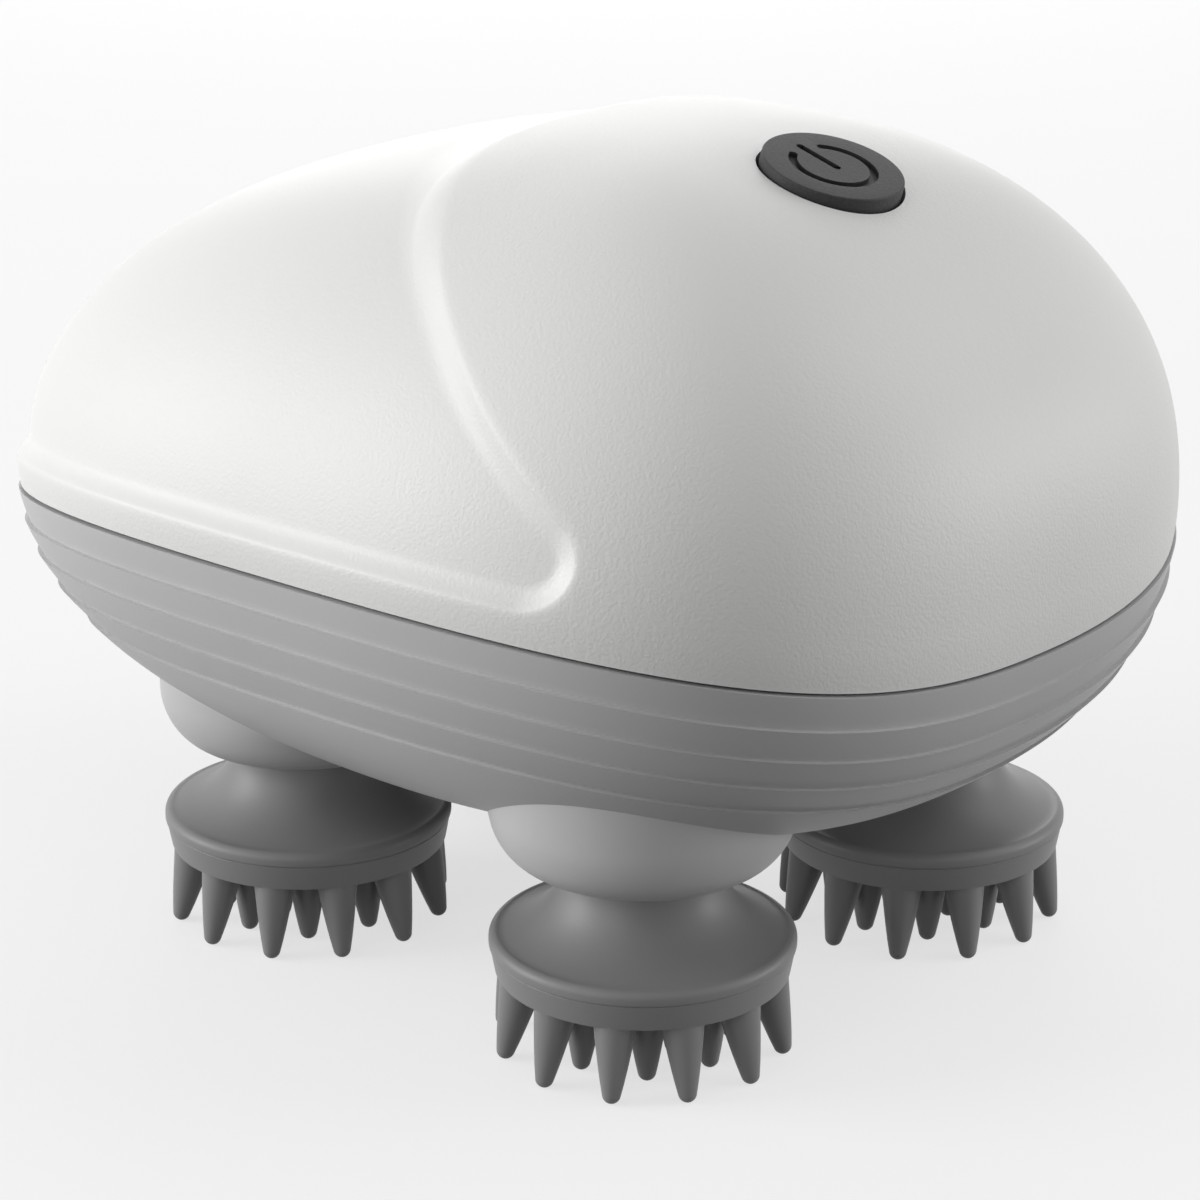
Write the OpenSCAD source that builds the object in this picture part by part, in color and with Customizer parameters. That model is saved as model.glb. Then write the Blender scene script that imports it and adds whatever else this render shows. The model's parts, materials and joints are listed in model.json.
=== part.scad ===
// Electric scalp massager: a domed hand-held housing that stands on four turning
// heads with soft tines. The nose points along -X, the dome and its power button
// lie towards +X, and the tine tips stand on z = 0. All sizes are in millimetres.

/* [Housing outline] */
// Length of the housing, nose to back
body_length = 125.8; // [120:0.2:132]
// Width of the housing
body_width = 96; // [92:0.5:100]
// Height of the crown above the tine tips
crown_z = 88.1; // [86:0.1:92]
// Height of the shell seam at the middle of each end
seam_z = 41.6; // [40:0.1:43]
// How much higher the seam runs along the two sides
seam_rise = 7.8; // [5:0.1:9]
// How much the seam climbs from nose to back
seam_climb = 3.4; // [0:0.1:4]
// Height of the flat underside
floor_z = 22; // [21.5:0.1:23]
// Wall thickness of both shells
wall = 2.3; // [1.8:0.1:2.6]

/* [Housing shape] */
// Place of the crown along the length
crown_x = 18.1; // [14:0.1:22]
// Place of the widest section along the length
widest_x = 2.4; // [-4:0.1:8]
// How square the back half is in plan (2 is an ellipse)
back_square = 2.95; // [2.2:0.05:3.4]
// How square the nose half is in plan
nose_square = 2.43; // [2.2:0.05:3]
// Height above the seam of the widest level, as a share of the upper shell
belly_share = 0.1; // [0.05:0.01:0.2]

/* [Saddle] */
// Depth of the sunk saddle on the nose
saddle_depth = 1.5; // [0.8:0.1:2]
// Slope of the saddle's crest line, seen from the side
crest_slope = 37; // [30:1:40]
// Point on the crest line: place along the length
crest_x = 31.5; // [28:0.5:36]
// Point on the crest line: height
crest_z = 67.1; // [64:0.1:70]
// Height of the rim between saddle and seam
rim_height = 3.5; // [3:0.1:5]
// Corner radius where the crest meets the rim
saddle_corner = 5; // [3:0.5:6]

/* [Bands] */
// Number of bands below the seam that end in a ledge
bands = 4; // [3:1:5]
// Depth of the first ledge below the seam
first_band = 3.95; // [3:0.05:4.5]
// Distance between ledges
band_pitch = 3.55; // [3:0.05:4]
// How far each band stands out beyond the one above it
band_step = 0.4; // [0.2:0.05:0.5]

/* [Heads] */
// Distance of each head's axis from the centre gear's axis
head_reach = 33; // [33:0.1:33.4]
// Angle of the head axes from the length of the housing
head_angle = 42.5; // [41:0.5:46]
// Place of the centre gear's axis along the length
gear_x = 7.2; // [6:0.1:8]
// Radius of a head's rim
rim_r = 15.4; // [14.5:0.1:15.6]
// Radius of a head's neck
neck_r = 8; // [7.5:0.1:8.5]
// Radius of a boss above a head
boss_r = 15.4; // [15:0.1:16]
// Tines in the outer ring of a head
outer_tines = 12; // [10:1:13]

/* [Power button] */
// Place of the button along the length
button_x = 35.5; // [34:0.5:37]
// Radius of the button's top
button_r = 7.1; // [6:0.1:7.5]
// How far the button stands out of the shell
button_proud = 1.1; // [0.8:0.1:1.5]
// Travel of the button
button_travel = 0.6; // [0.4:0.1:0.7]

/* [Gears] */
// Module of the centre gear and spindle gears
head_module = 1; // [1:0.5:1]
// Teeth of the centre gear
centre_teeth = 40; // [40:2:40]
// Teeth of a spindle gear
spindle_teeth = 26; // [26:2:26]

/* [Hidden] */
$fn = 48;
eps = 0.01;

white_abs = "whitesmoke";
grey_abs = "darkgray";
head_grey = "dimgray";
black_rubber = [0.12, 0.12, 0.13];
steel = "silver";
acetal = "ivory";

// ---- Housing surface -------------------------------------------------------
// Both shells follow one egg-shaped surface. A point on it is given by an angle
// around the housing and, above the seam, by its share h of the way to the crown.
half_width = body_width / 2;
back_x = body_length / 2;
nose_x = -body_length / 2;
back_rise = 2.6;      // exponents of the back end's profile, the nose's and the sides'
back_round = 2.08;
nose_rise = 2.04;
nose_round = 1.89;
side_rise = 1.84;
side_round = 2.74;
seam_undercut = 0.27; // how far the seam lies inside the widest level
back_inset = 28.2;    // how far the flat underside lies inside the seam at the back,
nose_inset = 21.3;    // at the nose
side_inset = 26.4;    // and at the sides
bowl_rise = 1.93;     // exponents of the bowl's profile
bowl_round = 2.36;
back_ease = 0.75;     // how much rounder in plan the underside is than the seam
nose_ease = 0.46;
seam_gap = 0.35;      // height of the gap for the gasket between the shells

function sign_pow(v, e) = sign(v) * pow(abs(v), e);
function plan_square(a) = cos(a) > 0 ? back_square : nose_square;
// Point at angle a of an egg-shaped ring with its own reach to the back, nose and side;
// ease makes the ring rounder in plan
function ring_point(a, mid, back, nose, side, ease = 0) = let (e = 2 / (plan_square(a) - ease)) [
  mid + (cos(a) > 0 ? back : nose) * sign_pow(cos(a), e),
  side * sign_pow(sin(a), e)
];
function full_ring(a) = ring_point(a, widest_x, back_x - widest_x, widest_x - nose_x, half_width);
// Height that the bowed seam adds at angle a
function seam_lift(a) = let (p = full_ring(a))
  seam_rise * pow(p.y / half_width, 2) + seam_climb * p.x / body_length;
function taper(t, rise, round) = pow(max(0, 1 - pow(t, rise)), 1 / round);
function upper_base(a, h) = let (
    t = max(0, (h - belly_share) / (1 - belly_share)),
    tuck = seam_undercut * pow(max(0, belly_share - h) / belly_share, 2),
    back = crown_x + (back_x - crown_x) * taper(t, back_rise, back_round) - tuck,
    nose = crown_x - (crown_x - nose_x) * taper(t, nose_rise, nose_round) + tuck,
    mid = widest_x * (1 - t * t) + crown_x * t * t,
    side = half_width * taper(t, side_rise, side_round) - tuck,
    p = ring_point(a, mid, back - mid, mid - nose, side))
  [p.x, p.y, seam_z + (crown_z - seam_z) * h + seam_lift(a) * pow(1 - h, 2)];
function unit(v) = v / norm(v);
// Outward normal of the upper surface, from small steps along it
function upper_normal(a, h) = let (
    around = upper_base(a + 0.5, h) - upper_base(a - 0.5, h),
    up = upper_base(a, min(h + 0.002, 0.9995)) - upper_base(a, max(h - 0.002, 0)))
  unit(cross(around, up));

// The saddle is bounded by a straight crest line seen from the side, a rim that
// follows the seam, and an arc between the two. The depth into it is a distance.
crest_normal = [-sin(crest_slope), -cos(crest_slope)];
function crest_depth(p) = (p.x - crest_x) * crest_normal.x + (p.z - crest_z) * crest_normal.y;
function seam_height(p) = seam_z + seam_rise * pow(p.y / half_width, 2)
  + seam_climb * p.x / body_length;
function rim_depth(p) = p.z - seam_height(p) - rim_height;
function saddle_reach(p) = let (
    c = crest_depth(p), r = rim_depth(p),
    dc = saddle_corner - c, dr = saddle_corner - r,
    toward = dc + dr * cos(crest_slope),
    across = dr + dc * cos(crest_slope))
  (toward > 0 && across > 0)
    ? saddle_corner - norm([dr, toward / sin(crest_slope)])
    : min(c, r);
// Width of the saddle's flank: narrow and crisp on the sides, wide and soft at the crown
side_flank = 2.1;
crown_flank = 5.2;
flank_low_z = 74;
flank_high_z = 86;
function smooth(v) = let (t = min(1, max(0, v))) t * t * (3 - 2 * t);
function crown_share(z) = smooth((z - flank_low_z) / (flank_high_z - flank_low_z));
function flank_width(z) = side_flank + (crown_flank - side_flank) * crown_share(z);
function saddle_sink(p) = let (
    t = min(1, max(0, saddle_reach(p) / flank_width(p.z))),
    k = crown_share(p.z))
  saddle_depth * ((1 - k) * t * (2 - t) + k * t * t);
function upper_outer(a, h) = let (p = upper_base(a, h), n = upper_normal(a, h))
  p - saddle_sink(p) * [n.x, n.y, n.z * min(1, h * 8)];
// The inner surface sinks a little ahead of the crest, so the wall never gets thin
inner_lead = 4;
function upper_inner(a, h) = let (
    p = upper_base(a, h), n = upper_normal(a, h),
    sink = saddle_depth * smooth((saddle_reach(p) + inner_lead) / inner_lead))
  p - (wall + sink) * [n.x, n.y, n.z * min(1, h * 8)];

// Each column of the upper shell puts its rings on the rim, the crest and their feet,
// so the faces follow the saddle's edges.
function column_reach(a, h) = saddle_reach(upper_base(a, h));
low_levels = [for (h = [0.14:0.01:0.34]) h];
function low_reaches(a) = [for (h = low_levels) column_reach(a, h)];
// Level near the rim that lies deepest in the saddle
function deep_level(a) = let (r = low_reaches(a)) low_levels[search(max(r), r)[0]];
// Angle at which the saddle ends, where its crest runs round into its rim
function find_corner(low, high, steps = 16) = let (mid = (low + high) / 2)
  steps == 0 ? mid
    : max(low_reaches(mid)) > 0
      ? find_corner(low, mid, steps - 1)
      : find_corner(mid, high, steps - 1);
corner_angle = find_corner(45, 80);
// Level between low and high where the depth into the saddle passes a wanted depth
function find_level(a, wanted, low, high, rising, steps = 14) = let (mid = (low + high) / 2)
  steps == 0 ? mid
    : (column_reach(a, mid) > wanted) == rising
      ? find_level(a, wanted, low, mid, rising, steps - 1)
      : find_level(a, wanted, mid, high, rising, steps - 1);
edge_space = 0.012;
// Levels of the rim, its foot, the crest's foot and the crest
function saddle_levels(a) = let (
    deep = deep_level(a),
    rim = find_level(a, 0, 0, deep, true),
    foot = min(find_level(a, side_flank, 0, deep, true), deep - edge_space),
    crest = find_level(a, 0, deep, 0.999, false),
    width = flank_width(upper_base(a, crest).z),
    shelf = max(find_level(a, width, deep, crest, false), deep + edge_space))
  [min(rim, foot - edge_space), foot, shelf, max(crest, shelf + edge_space)];
// Past the corner there is no saddle, and the rings spread out evenly
corner_levels = saddle_levels(corner_angle);
plain_levels = [0.12, 0.18, 0.31, 0.41];
spread_angle = 25;
function plain_share(a) = smooth((corner_angle - abs(a)) / spread_angle);
function edge_levels(a) = abs(a) > corner_angle
  ? saddle_levels(a)
  : corner_levels + (plain_levels - corner_levels) * plain_share(a);
floor_rings = 5;
crown_rings = 7;
function column_levels(a) = let (
    s = edge_levels(a), rim = s[0], foot = s[1], shelf = s[2], crest = s[3])
  concat(
    [0, rim / 2, rim, rim + (foot - rim) / 3],
    [for (i = [0:floor_rings]) foot + (shelf - foot) * i / floor_rings],
    [crest - (crest - shelf) / 3],
    [for (i = [0:crown_rings - 1]) 1 - (1 - crest) * pow(1 - i / crown_rings, 2.2)]);
inner_levels = [0, 0.06, 0.15, 0.3, 0.45, 0.6, 0.74, 0.86, 0.95, 0.99];
// The columns stand closer together at the saddle's two corners
corner_offsets = [0.8, 2, 3.8];
saddle_start = corner_angle + 6.5;
cap_steps = 24;
saddle_steps = 46;
angles = concat(
  [for (i = [0:cap_steps]) corner_angle * (2 * i / cap_steps - 1)],
  [for (d = corner_offsets) corner_angle + d],
  [for (i = [0:saddle_steps]) saddle_start + (360 - 2 * saddle_start) * i / saddle_steps],
  [for (i = [2:-1:0]) 360 - corner_angle - corner_offsets[i]]);

// Point of the bowl at angle a, at a share t of the way down to the underside
function bowl_point(a, t, inset, bottom) = let (
    turn = 1 - taper(t, bowl_rise, bowl_round),
    e = inset + seam_undercut,
    back = back_x - widest_x - e - back_inset * turn,
    nose = widest_x - nose_x - e - nose_inset * turn,
    side = half_width - e - side_inset * turn,
    p = ring_point(a, widest_x, back, nose, side, (cos(a) > 0 ? back_ease : nose_ease) * t * t))
  [p.x, p.y, (seam_z + seam_lift(a)) * (1 - t) + bottom * t];
function depth_share(a, depth) = depth / (seam_z + seam_lift(a) - floor_z);
last_ledge = first_band + (bands - 1) * band_pitch;
below_ledges = [0.2, 0.4, 0.6, 0.78, 0.92, 1];
bowl_shares = [0.2, 0.4, 0.6, 0.8, 0.93, 1];
function bowl_outer_column(a) = concat(
  [bowl_point(a, depth_share(a, seam_gap), -band_step / 2, floor_z)],
  [for (i = [0:bands - 1], side = [1, -1])
    bowl_point(a, depth_share(a, first_band + i * band_pitch), side * band_step / 2, floor_z)],
  [for (s = below_ledges) let (t0 = depth_share(a, last_ledge))
    bowl_point(a, t0 + (1 - t0) * s, (s - 1) * band_step / 2, floor_z)]);
function bowl_inner_column(a) = concat(
  [bowl_point(a, depth_share(a, seam_gap), wall, floor_z)],
  [for (t = bowl_shares) bowl_point(a, t, wall, floor_z + wall)]);

// A shell from columns of outer and inner points, each column running from the seam
// to a closing point; flip turns the faces for a shell that closes downwards.
module skin_between(outer, inner, outer_tip, inner_tip, flip) {
  n = len(outer);
  ro = len(outer[0]);
  ri = len(inner[0]);
  start = n * ro;
  tips = start + n * ri;
  function wrap(i) = i % n;
  function o(i, k) = wrap(i) * ro + k;
  function q(i, k) = start + wrap(i) * ri + k;
  faces = concat(
    [for (i = [0:n - 1], k = [0:ro - 2]) [o(i, k), o(i, k + 1), o(i + 1, k + 1), o(i + 1, k)]],
    [for (i = [0:n - 1]) [o(i, ro - 1), tips, o(i + 1, ro - 1)]],
    [for (i = [0:n - 1], k = [0:ri - 2]) [q(i, k), q(i + 1, k), q(i + 1, k + 1), q(i, k + 1)]],
    [for (i = [0:n - 1]) [q(i, ri - 1), q(i + 1, ri - 1), tips + 1]],
    [for (i = [0:n - 1]) [o(i, 0), o(i + 1, 0), q(i + 1, 0), q(i, 0)]]);
  triangles = [for (f = faces) each len(f) == 3 ? [f] : [[f[0], f[1], f[2]], [f[0], f[2], f[3]]]];
  polyhedron(
    points = concat([for (c = outer) each c], [for (c = inner) each c], [outer_tip, inner_tip]),
    faces = [for (f = triangles) flip ? [f[2], f[1], f[0]] : f]);
}

// ---- Places of the inner parts ----------------------------------------------
head_angles = [-180 + head_angle, 180 - head_angle, -head_angle, head_angle];
function head_place(i) = [gear_x + head_reach * cos(head_angles[i]), head_reach * sin(head_angles[i])];
pad_z = 8.1;          // underside of the tine pad
parting_z = 10.9;     // line between tine pad and head skin
neck_top = 19.8;
boss_z = 20.3;        // underside of a boss
gear_z = 37;          // centre and spindle gears
gear_t = 5;
mid_z = 43;           // second layer: centre wheel and idler pinion
top_z = 47;           // third layer: idler wheel and motor pinion
thin_t = 3;
plate_z = 51;
plate_t = 2;
spindle_r = 2.5;
running = 0.06;       // radial running clearance
bush_r = 5;
seal_r = 7;
centre_axle_r = 2;
idler_axle_r = 1.5;
wheel_module = 0.6;   // centre wheel and idler pinion
wheel_teeth = 60;
idler_pinion_teeth = 14;
motor_module = 0.5;   // idler wheel and motor pinion
idler_teeth = 50;
motor_teeth = 10;
idler_x = gear_x - wheel_module * (wheel_teeth + idler_pinion_teeth) / 2;
motor_x = idler_x + motor_module * (idler_teeth + motor_teeth) / 2;
motor_r = 12.2;
motor_h = 24;
motor_shaft_r = 1;
motor_screw_y = 8;
battery_r = 9.1;
battery_l = 49;
battery_x = -27;
battery_z = 62.3;
// Case screws: left, right, rear and nose
case_posts = [[gear_x, -28], [gear_x, 28], [41, 0], [-42, 0]];
case_post_r = 3.5;
case_screw_r = 1.3;
case_seat_z = 26;     // where a case screw's head bears
case_post_tops = [77.6, 77.6, 76, 69.5];
nose_joint_z = 45;    // the nose post needs no plate, so its halves meet lower
post_foot_z = 24;     // inside the floor's thickness
plate_nose_x = -37.6;
rib_t = 2;
plate_posts = [for (x = [-7.3, 7.3], y = [-27, 27]) [gear_x + x, y]];
contact_spots = [[-30, -3], [-30, 3]];

// Frame of the button: its origin is on the shell's surface, its z axis is the normal
function crown_profile(x) = let (
    s = (x - crown_x) / (back_x - crown_x),
    t = pow(1 - pow(s, back_round), 1 / back_rise),
    h = belly_share + (1 - belly_share) * t)
  seam_z + (crown_z - seam_z) * h;
button_z = crown_profile(button_x);
button_tilt = atan((crown_profile(button_x - 1) - crown_profile(button_x + 1)) / 2);
hole_r = 7.45;
collar_r = 10.2;
collar_bottom = -4.4;
board_top = -11.6;
board_t = 1.6;
board_w = 26;
board_l = 32;
board_shift = -8;     // the board reaches towards the crown, clear of the rear post
// Board posts, and the height at which each meets the domed shell
board_posts = [for (u = [-18, 2], v = [-13, 13]) [u, v]];
board_post_tops = [-5.6, -5.6, -3.4, -3.4];
switch_top = -7.5;
module on_button() translate([button_x, 0, button_z]) rotate([0, button_tilt, 0]) children();

module tube(outer_r, inner_r, z0, z1)
  translate([0, 0, z0]) difference() {
    cylinder(r = outer_r, h = z1 - z0);
    translate([0, 0, -1]) cylinder(r = inner_r, h = z1 - z0 + 2);
  }
module rod(r, z0, z1) translate([0, 0, z0]) cylinder(r = r, h = z1 - z0);
module at(place) translate([place.x, place.y, 0]) children();

// ---- Housing ----------------------------------------------------------------
module upper_skin() skin_between(
  [for (a = angles) [for (h = column_levels(a)) upper_outer(a, h)]],
  [for (a = angles) [for (h = inner_levels) upper_inner(a, h)]],
  [crown_x, 0, crown_z],
  [crown_x, 0, crown_z - wall], false);

// Rib that ties the rear case post to the back wall, under the button
module rear_rib() {
  low = plate_z + plate_t + 1;
  top = case_post_tops[2];
  back = [for (h = [0.2:0.1:0.8]) let (p = upper_base(0, h)) if (p.z > low && p.z < top) p];
  rotate([90, 0, 0]) translate([0, 0, -rib_t / 2]) linear_extrude(rib_t) polygon(concat(
    [[case_posts[2].x, low], [back[0].x - wall / 2, low]],
    [for (p = back) [p.x - wall / 2, p.z]],
    [[back[len(back) - 1].x - wall, top], [case_posts[2].x, top]]));
}

module upper_posts() {
  on_button() rod(collar_r, collar_bottom, -1.6);
  on_button() for (i = [0:3]) at(board_posts[i]) rod(2.4, board_top, board_post_tops[i]);
  for (i = [0:3]) at(case_posts[i])
    rod(case_post_r, i == 3 ? nose_joint_z + 0.05 : plate_z + plate_t + 0.05, case_post_tops[i]);
  rear_rib();
}

module upper_shell() color(white_abs) difference() {
  union() {
    upper_skin();
    upper_posts();
  }
  on_button() rod(hole_r, collar_bottom - 1, 4);
  on_button() for (p = board_posts) at(p) rod(0.97, board_top - 1, -6.5);
  for (i = [0:3]) at(case_posts[i]) rod(case_screw_r + 0.01, nose_joint_z - 1, 62);
}

// A boss is a cup that hangs under the bowl: a round lower edge, then a straight wall
// that runs up inside the bowl. It holds a tube for the spindle's bush.
boss_bottom_r = 9.8;
boss_full_z = 26.8;   // height at which the boss reaches its full radius
boss_top = 33;
boss_well_r = 12.8;
tube_r = 7.5;
module boss_profile() polygon(concat(
  [[0, boss_z]],
  [for (a = [0:15:90]) [
    boss_bottom_r + (boss_r - boss_bottom_r) * sin(a),
    boss_full_z - (boss_full_z - boss_z) * cos(a)]],
  [[boss_r, boss_top], [0, boss_top]]));

module bowl_skin() skin_between(
  [for (a = angles) bowl_outer_column(a)],
  [for (a = angles) bowl_inner_column(a)],
  [widest_x, 0, floor_z],
  [widest_x, 0, floor_z + wall], true);

module lower_shell() color(grey_abs) difference() {
  union() {
    difference() {
      union() {
        bowl_skin();
        for (i = [0:3]) at(head_place(i)) rotate_extrude() boss_profile();
      }
      for (i = [0:3]) at(head_place(i)) rod(boss_well_r, floor_z + wall, boss_top + 1);
    }
    for (i = [0:3]) at(head_place(i)) rod(tube_r, post_foot_z, 36);
    at([gear_x, 0]) rod(5.5, post_foot_z, gear_z - 0.5);
    for (i = [0:3]) at(case_posts[i])
      rod(case_post_r, post_foot_z, i == 3 ? nose_joint_z : plate_z - 0.05);
    for (p = plate_posts) at(p) rod(2.2, post_foot_z, plate_z - 0.05);
  }
  for (i = [0:3]) at(head_place(i)) {
    rod(seal_r, boss_z - 1, boss_z + 3);
    rod(bush_r, boss_z, 37);
  }
  at([gear_x, 0]) rod(centre_axle_r + 0.01, 25, 38);
  for (p = case_posts) at(p) {
    rod(2.8, floor_z - 3, case_seat_z);
    rod(case_screw_r + 0.1, floor_z, 52);
  }
  for (p = plate_posts) at(p) rod(1.02, 42, 52);
  for (p = contact_spots) at(p) rod(1.3, floor_z - 1, floor_z + wall + 1);
}

gasket_inset = 0.5;
gasket_width = 1.3;
gasket_air = 0.05;
module seam_gasket() color(black_rubber) {
  ring = [for (a = angles) [for (c = [[0, -gasket_air], [1, -gasket_air], [1, gasket_air - seam_gap],
    [0, gasket_air - seam_gap]])
    let (p = bowl_point(a, 0, gasket_inset + c.x * gasket_width, floor_z)) p + [0, 0, c.y]]];
  n = len(angles);
  quads = [for (i = [0:n - 1], k = [0:3])
    [i * 4 + k, i * 4 + (k + 1) % 4, ((i + 1) % n) * 4 + (k + 1) % 4, ((i + 1) % n) * 4 + k]];
  polyhedron(points = [for (c = ring) each c],
    faces = [for (f = quads) each [[f[0], f[1], f[2]], [f[0], f[2], f[3]]]]);
}

// ---- Power button, switch and board -----------------------------------------
module power_button() color(black_rubber) on_button() rotate_extrude() polygon([
  [0, button_proud], [button_r - 0.35, button_proud], [button_r - 0.1, button_proud - 0.1],
  [button_r, button_proud - 0.35], [button_r + 0.15, -4.75], [9, -4.75], [9, -5.6],
  [1.8, -5.6], [1.8, switch_top + button_travel + 0.1], [0, switch_top + button_travel + 0.1]]);

module button_seal() color(black_rubber) on_button() tube(9, 7.5, -4.72, collar_bottom - 0.02);

module tact_switch() color("black") on_button() {
  translate([-3, -3, board_top]) cube([6, 6, 3.5]);
  rod(1.7, board_top + 3.5 - eps, switch_top);
}

module circuit_board() color("darkgreen") on_button() difference() {
  union() {
    translate([board_shift - board_w / 2, -board_l / 2, board_top - board_t])
      cube([board_w, board_l, board_t]);
    translate([-16, -5, board_top - board_t - 1.5]) cube([8, 10, 1.6]);
    translate([-3, -6, board_top - board_t - 4]) cube([5, 12, 4.1]);
  }
  for (p = board_posts) at(p) rod(1.1, board_top - 4, board_top + 1);
}

module board_screws() color(steel) on_button() for (p = board_posts) at(p) {
  rod(1.8, board_top - board_t - 1.2, board_top - board_t);
  rod(0.95, board_top - board_t - eps, board_top + 4.6);
}

module charge_contacts() color("gold") for (p = contact_spots) at(p) {
  rod(1.28, floor_z - 0.3, floor_z + wall);
  rod(2, floor_z + wall + 0.02, floor_z + wall + 1);
  rod(0.6, floor_z + wall - eps, floor_z + wall + 3);
}

// ---- Power and drive --------------------------------------------------------
module battery_cell() color("mediumpurple") translate([battery_x, 0, battery_z]) rotate([90, 0, 0]) {
  translate([0, 0, -battery_l / 2]) cylinder(r = battery_r, h = battery_l - 2);
  translate([0, 0, battery_l / 2 - 2 - eps]) cylinder(r = 5.5, h = 2);
}

module motor_can() color(steel) at([motor_x, 0]) difference() {
  union() {
    rod(motor_r, plate_z + plate_t, plate_z + plate_t + motor_h);
    rod(3.2, plate_z, plate_z + plate_t + 1);
    rod(4.5, plate_z + plate_t + motor_h - 1, plate_z + plate_t + motor_h + 1.5);
    for (x = [-7, 7]) translate([x - 0.4, -1.2, plate_z + plate_t + motor_h - 1]) cube([0.8, 2.4, 4]);
  }
  rod(motor_shaft_r + running, plate_z - 1, 62);
  for (y = [-motor_screw_y, motor_screw_y]) at([0, y]) rod(1.02, plate_z, 57);
}

module motor_shaft() color(steel) at([motor_x, 0]) rod(motor_shaft_r, top_z - 0.4, 61);

module motor_screws() color(steel) for (y = [-motor_screw_y, motor_screw_y]) at([motor_x, y]) {
  rod(1.9, plate_z - 1.3, plate_z);
  rod(1, plate_z - eps, 56);
}

module gearbox_plate() color("gray") difference() {
  union() {
    translate([0, 0, plate_z]) linear_extrude(plate_t) {
      translate([plate_nose_x, -20]) square([36 - plate_nose_x, 40]);
      for (i = [0:3]) at(head_place(i)) circle(6.5);
      translate([gear_x - 10.5, -31.5]) square([21, 63]);
      translate([30, -5]) square([11, 10]);
      at([41, 0]) circle(5);
    }
    for (y = [-17, 15]) translate([battery_x - 10.5, y, plate_z + plate_t - eps]) cube([21, 2, 8]);
  }
  translate([battery_x, 0, battery_z]) rotate([90, 0, 0]) cylinder(r = battery_r + 0.1, h = 60, center = true);
  for (i = [0:3]) at(head_place(i)) rod(spindle_r + running, plate_z - 1, plate_z + 3);
  for (i = [0:2]) at(case_posts[i]) rod(1.5, plate_z - 1, plate_z + 3);
  for (p = plate_posts) at(p) rod(1.1, plate_z - 1, plate_z + 3);
  for (y = [-motor_screw_y, motor_screw_y]) at([motor_x, y]) rod(1.1, plate_z - 1, plate_z + 3);
  at([motor_x, 0]) rod(3.3, plate_z - 1, plate_z + 3);
  at([gear_x, 0]) rod(centre_axle_r + 0.02, plate_z - 1, plate_z + 3);
  at([idler_x, 0]) rod(idler_axle_r + 0.01, plate_z - 1, plate_z + 3);
}

module plate_screws() color(steel) for (p = plate_posts) at(p) {
  rod(1.9, plate_z + plate_t, plate_z + plate_t + 1.4);
  rod(1, 43, plate_z + plate_t + eps);
}

module case_screws() color(steel) for (p = case_posts) at(p) {
  rod(2.6, case_seat_z - 1.8, case_seat_z);
  rod(case_screw_r, case_seat_z - eps, 60);
}

// ---- Gear train -------------------------------------------------------------
// Outline of a spur gear with involute flanks; slack is taken off each tooth's width
pressure = 20;
function involute_angle(a) = tan(a) * 180 / PI - a;
function half_tooth(r, pitch_r, teeth, slack) = let (
    base_r = pitch_r * cos(pressure),
    a = acos(min(1, base_r / max(r, base_r))))
  90 / teeth - slack / (2 * pitch_r) * 180 / PI + involute_angle(pressure) - involute_angle(a);
module gear_outline(teeth, m, slack) {
  pitch_r = teeth * m / 2;
  root_r = pitch_r - 1.2 * m;
  radii = [root_r, pitch_r - 0.6 * m, pitch_r, pitch_r + 0.5 * m, pitch_r + 0.95 * m];
  flank = [for (r = radii) [r, half_tooth(r, pitch_r, teeth, slack)]];
  polygon([for (i = [0:teeth - 1]) each concat(
    [for (k = [0:4]) let (f = flank[k], a = i * 360 / teeth - f[1]) f[0] * [cos(a), sin(a)]],
    [for (k = [4:-1:0]) let (f = flank[k], a = i * 360 / teeth + f[1]) f[0] * [cos(a), sin(a)]])]);
}
module gear(teeth, m, z, thick, slack, turn = 0)
  translate([0, 0, z]) rotate([0, 0, turn]) linear_extrude(thick) gear_outline(teeth, m, slack);
// Turn that puts a gear's teeth in mesh with those of another gear, whose own turn is
// given, when the line from that gear's axis to this one's has direction dir
function mesh_turn(teeth, other_teeth, other_turn, dir) =
  dir + 180 + (180 - other_teeth * (other_turn - dir)) / teeth;
head_slack = 0.22;
fine_slack = 0.14;

module centre_axle() color(steel) at([gear_x, 0]) rod(centre_axle_r, 25.2, plate_z + plate_t);

module centre_gear() color(acetal) at([gear_x, 0]) difference() {
  union() {
    gear(centre_teeth, head_module, gear_z, gear_t, head_slack);
    rod(6, gear_z - 0.4, mid_z + eps);
    gear(wheel_teeth, wheel_module, mid_z, thin_t, fine_slack);
    rod(3.2, mid_z + thin_t - eps, plate_z - 0.2);
  }
  rod(centre_axle_r + running, gear_z - 2, plate_z + 1);
}

module idler_axle() color(steel) at([idler_x, 0]) {
  rod(idler_axle_r, mid_z - 0.5, plate_z + plate_t);
  rod(2.5, mid_z - 0.85, mid_z - 0.15);
}

idler_pinion_turn = mesh_turn(idler_pinion_teeth, wheel_teeth, 0, 180);
module idler_gear() color(acetal) at([idler_x, 0]) difference() {
  union() {
    gear(idler_pinion_teeth, wheel_module, mid_z, top_z - mid_z + eps, fine_slack, idler_pinion_turn);
    gear(idler_teeth, motor_module, top_z, thin_t, fine_slack);
    rod(3, top_z + thin_t - eps, plate_z - 0.2);
  }
  rod(idler_axle_r + running, mid_z - 1, plate_z + 1);
}

module motor_pinion() color("goldenrod") at([motor_x, 0]) difference() {
  gear(motor_teeth, motor_module, top_z, thin_t, fine_slack,
    mesh_turn(motor_teeth, idler_teeth, 0, 0));
  rod(motor_shaft_r + 0.01, top_z - 1, top_z + thin_t + 1);
}

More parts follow.
